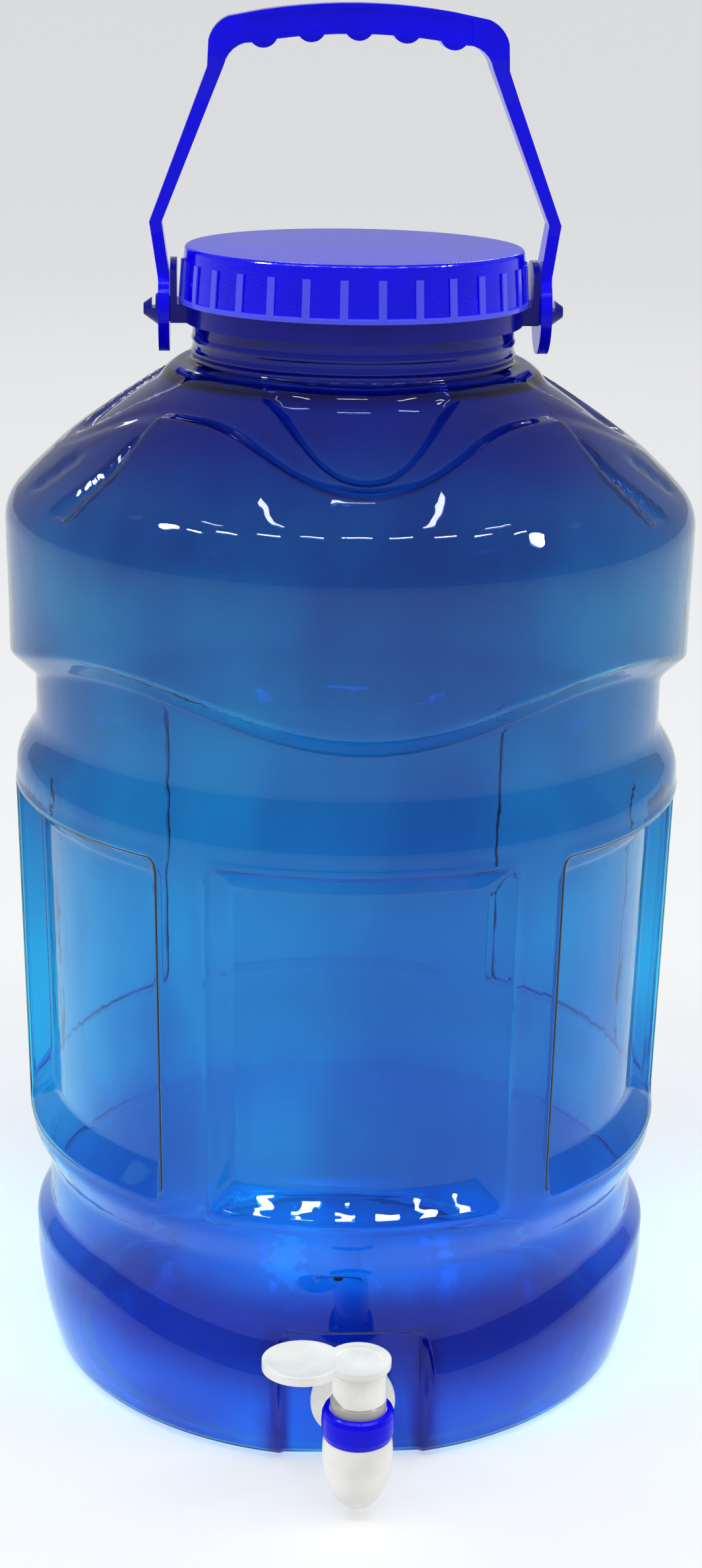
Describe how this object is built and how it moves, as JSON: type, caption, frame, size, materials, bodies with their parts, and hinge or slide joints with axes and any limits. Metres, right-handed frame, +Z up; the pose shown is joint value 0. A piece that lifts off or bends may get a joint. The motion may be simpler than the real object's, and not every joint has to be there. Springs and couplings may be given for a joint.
{
  "type": "large water jug",
  "caption": "Tall translucent water jug with a screw cap, a swinging bail handle and a swivelling lever tap set in an alcove of its base.",
  "frame": {"origin": "on the floor at the bottle's upright axis, in the plane of the standing ring", "axes": "+Z up along the bottle's axis; the tap is on the -Y side; the handle pivots about X"},
  "size_m": [0.2764, 0.3124, 0.558],
  "materials": {
    "tinted_pet": "glossy, translucent",
    "royal_blue": "glossy",
    "navy_plastic": "glossy, slightly translucent",
    "tap_white": "satin",
    "grey_plastic": "satin, slightly translucent",
    "silicone": "matt, translucent",
    "seal_foam": "matt",
    "black_rubber": "matt",
    "steel": "plain"
  },
  "bodies": {
    "jug": {"bottle_body": "tinted_pet", "bottle_shoulder": "tinted_pet", "bottle_neck": "tinted_pet", "pivot_collar": "navy_plastic", "tap_body": "tap_white", "tap_outer_washer": "silicone", "tap_inner_washer": "silicone", "tap_lock_nut": "tap_white", "tap_bonnet": "grey_plastic", "tap_trim_ring": "royal_blue", "return_spring": "steel"},
    "bail": {"handle_bail": "royal_blue"},
    "cap_carrier": {"cap_liner": "seal_foam"},
    "cap": {"cap_shell": "royal_blue"},
    "plug": {"valve_plug": "silicone"},
    "stem": {"tap_stem": "tap_white", "stem_seal": "black_rubber", "lever_pin": "steel"},
    "lever": {"tap_lever": "tap_white"}
  },
  "joints": [
    {"name": "handle_swing", "type": "hinge", "parent": "jug", "child": "bail", "pos_m": [0, 0, 0.442], "axis": [1, 0, 0], "range_deg": [-100, 100]},
    {"name": "cap_lift", "type": "slide", "parent": "jug", "child": "cap_carrier", "axis": [0, 0, 1], "range_m": [0, 0.0241]},
    {"name": "cap_turn", "type": "hinge", "parent": "cap_carrier", "child": "cap", "pos_m": [0, 0, 0.456], "axis": [0, 0, 1], "range_deg": [0, 1440]},
    {"name": "stem_lift", "type": "slide", "parent": "jug", "child": "plug", "axis": [0, 0, 1], "range_m": [0, 0.0027], "deforming": ["return_spring"]},
    {"name": "lever_swivel", "type": "hinge", "parent": "plug", "child": "stem", "pos_m": [0, -0.16, 0.0575], "axis": [0, 0, 1], "range_deg": [-40, 220]},
    {"name": "lever_press", "type": "hinge", "parent": "stem", "child": "lever", "pos_m": [0, -0.16, 0.0575], "axis": [0, -1, 0], "range_deg": [0, 35], "stiffness_Nm_per_rad": 0.02, "springref_deg": -28.65}
  ],
  "couplings": [
    {"joint": "cap_lift", "follows": "cap_turn", "m_per_rad": 0.00095493},
    {"joint": "stem_lift", "follows": "lever_press", "m_per_rad": 0.0043}
  ]
}
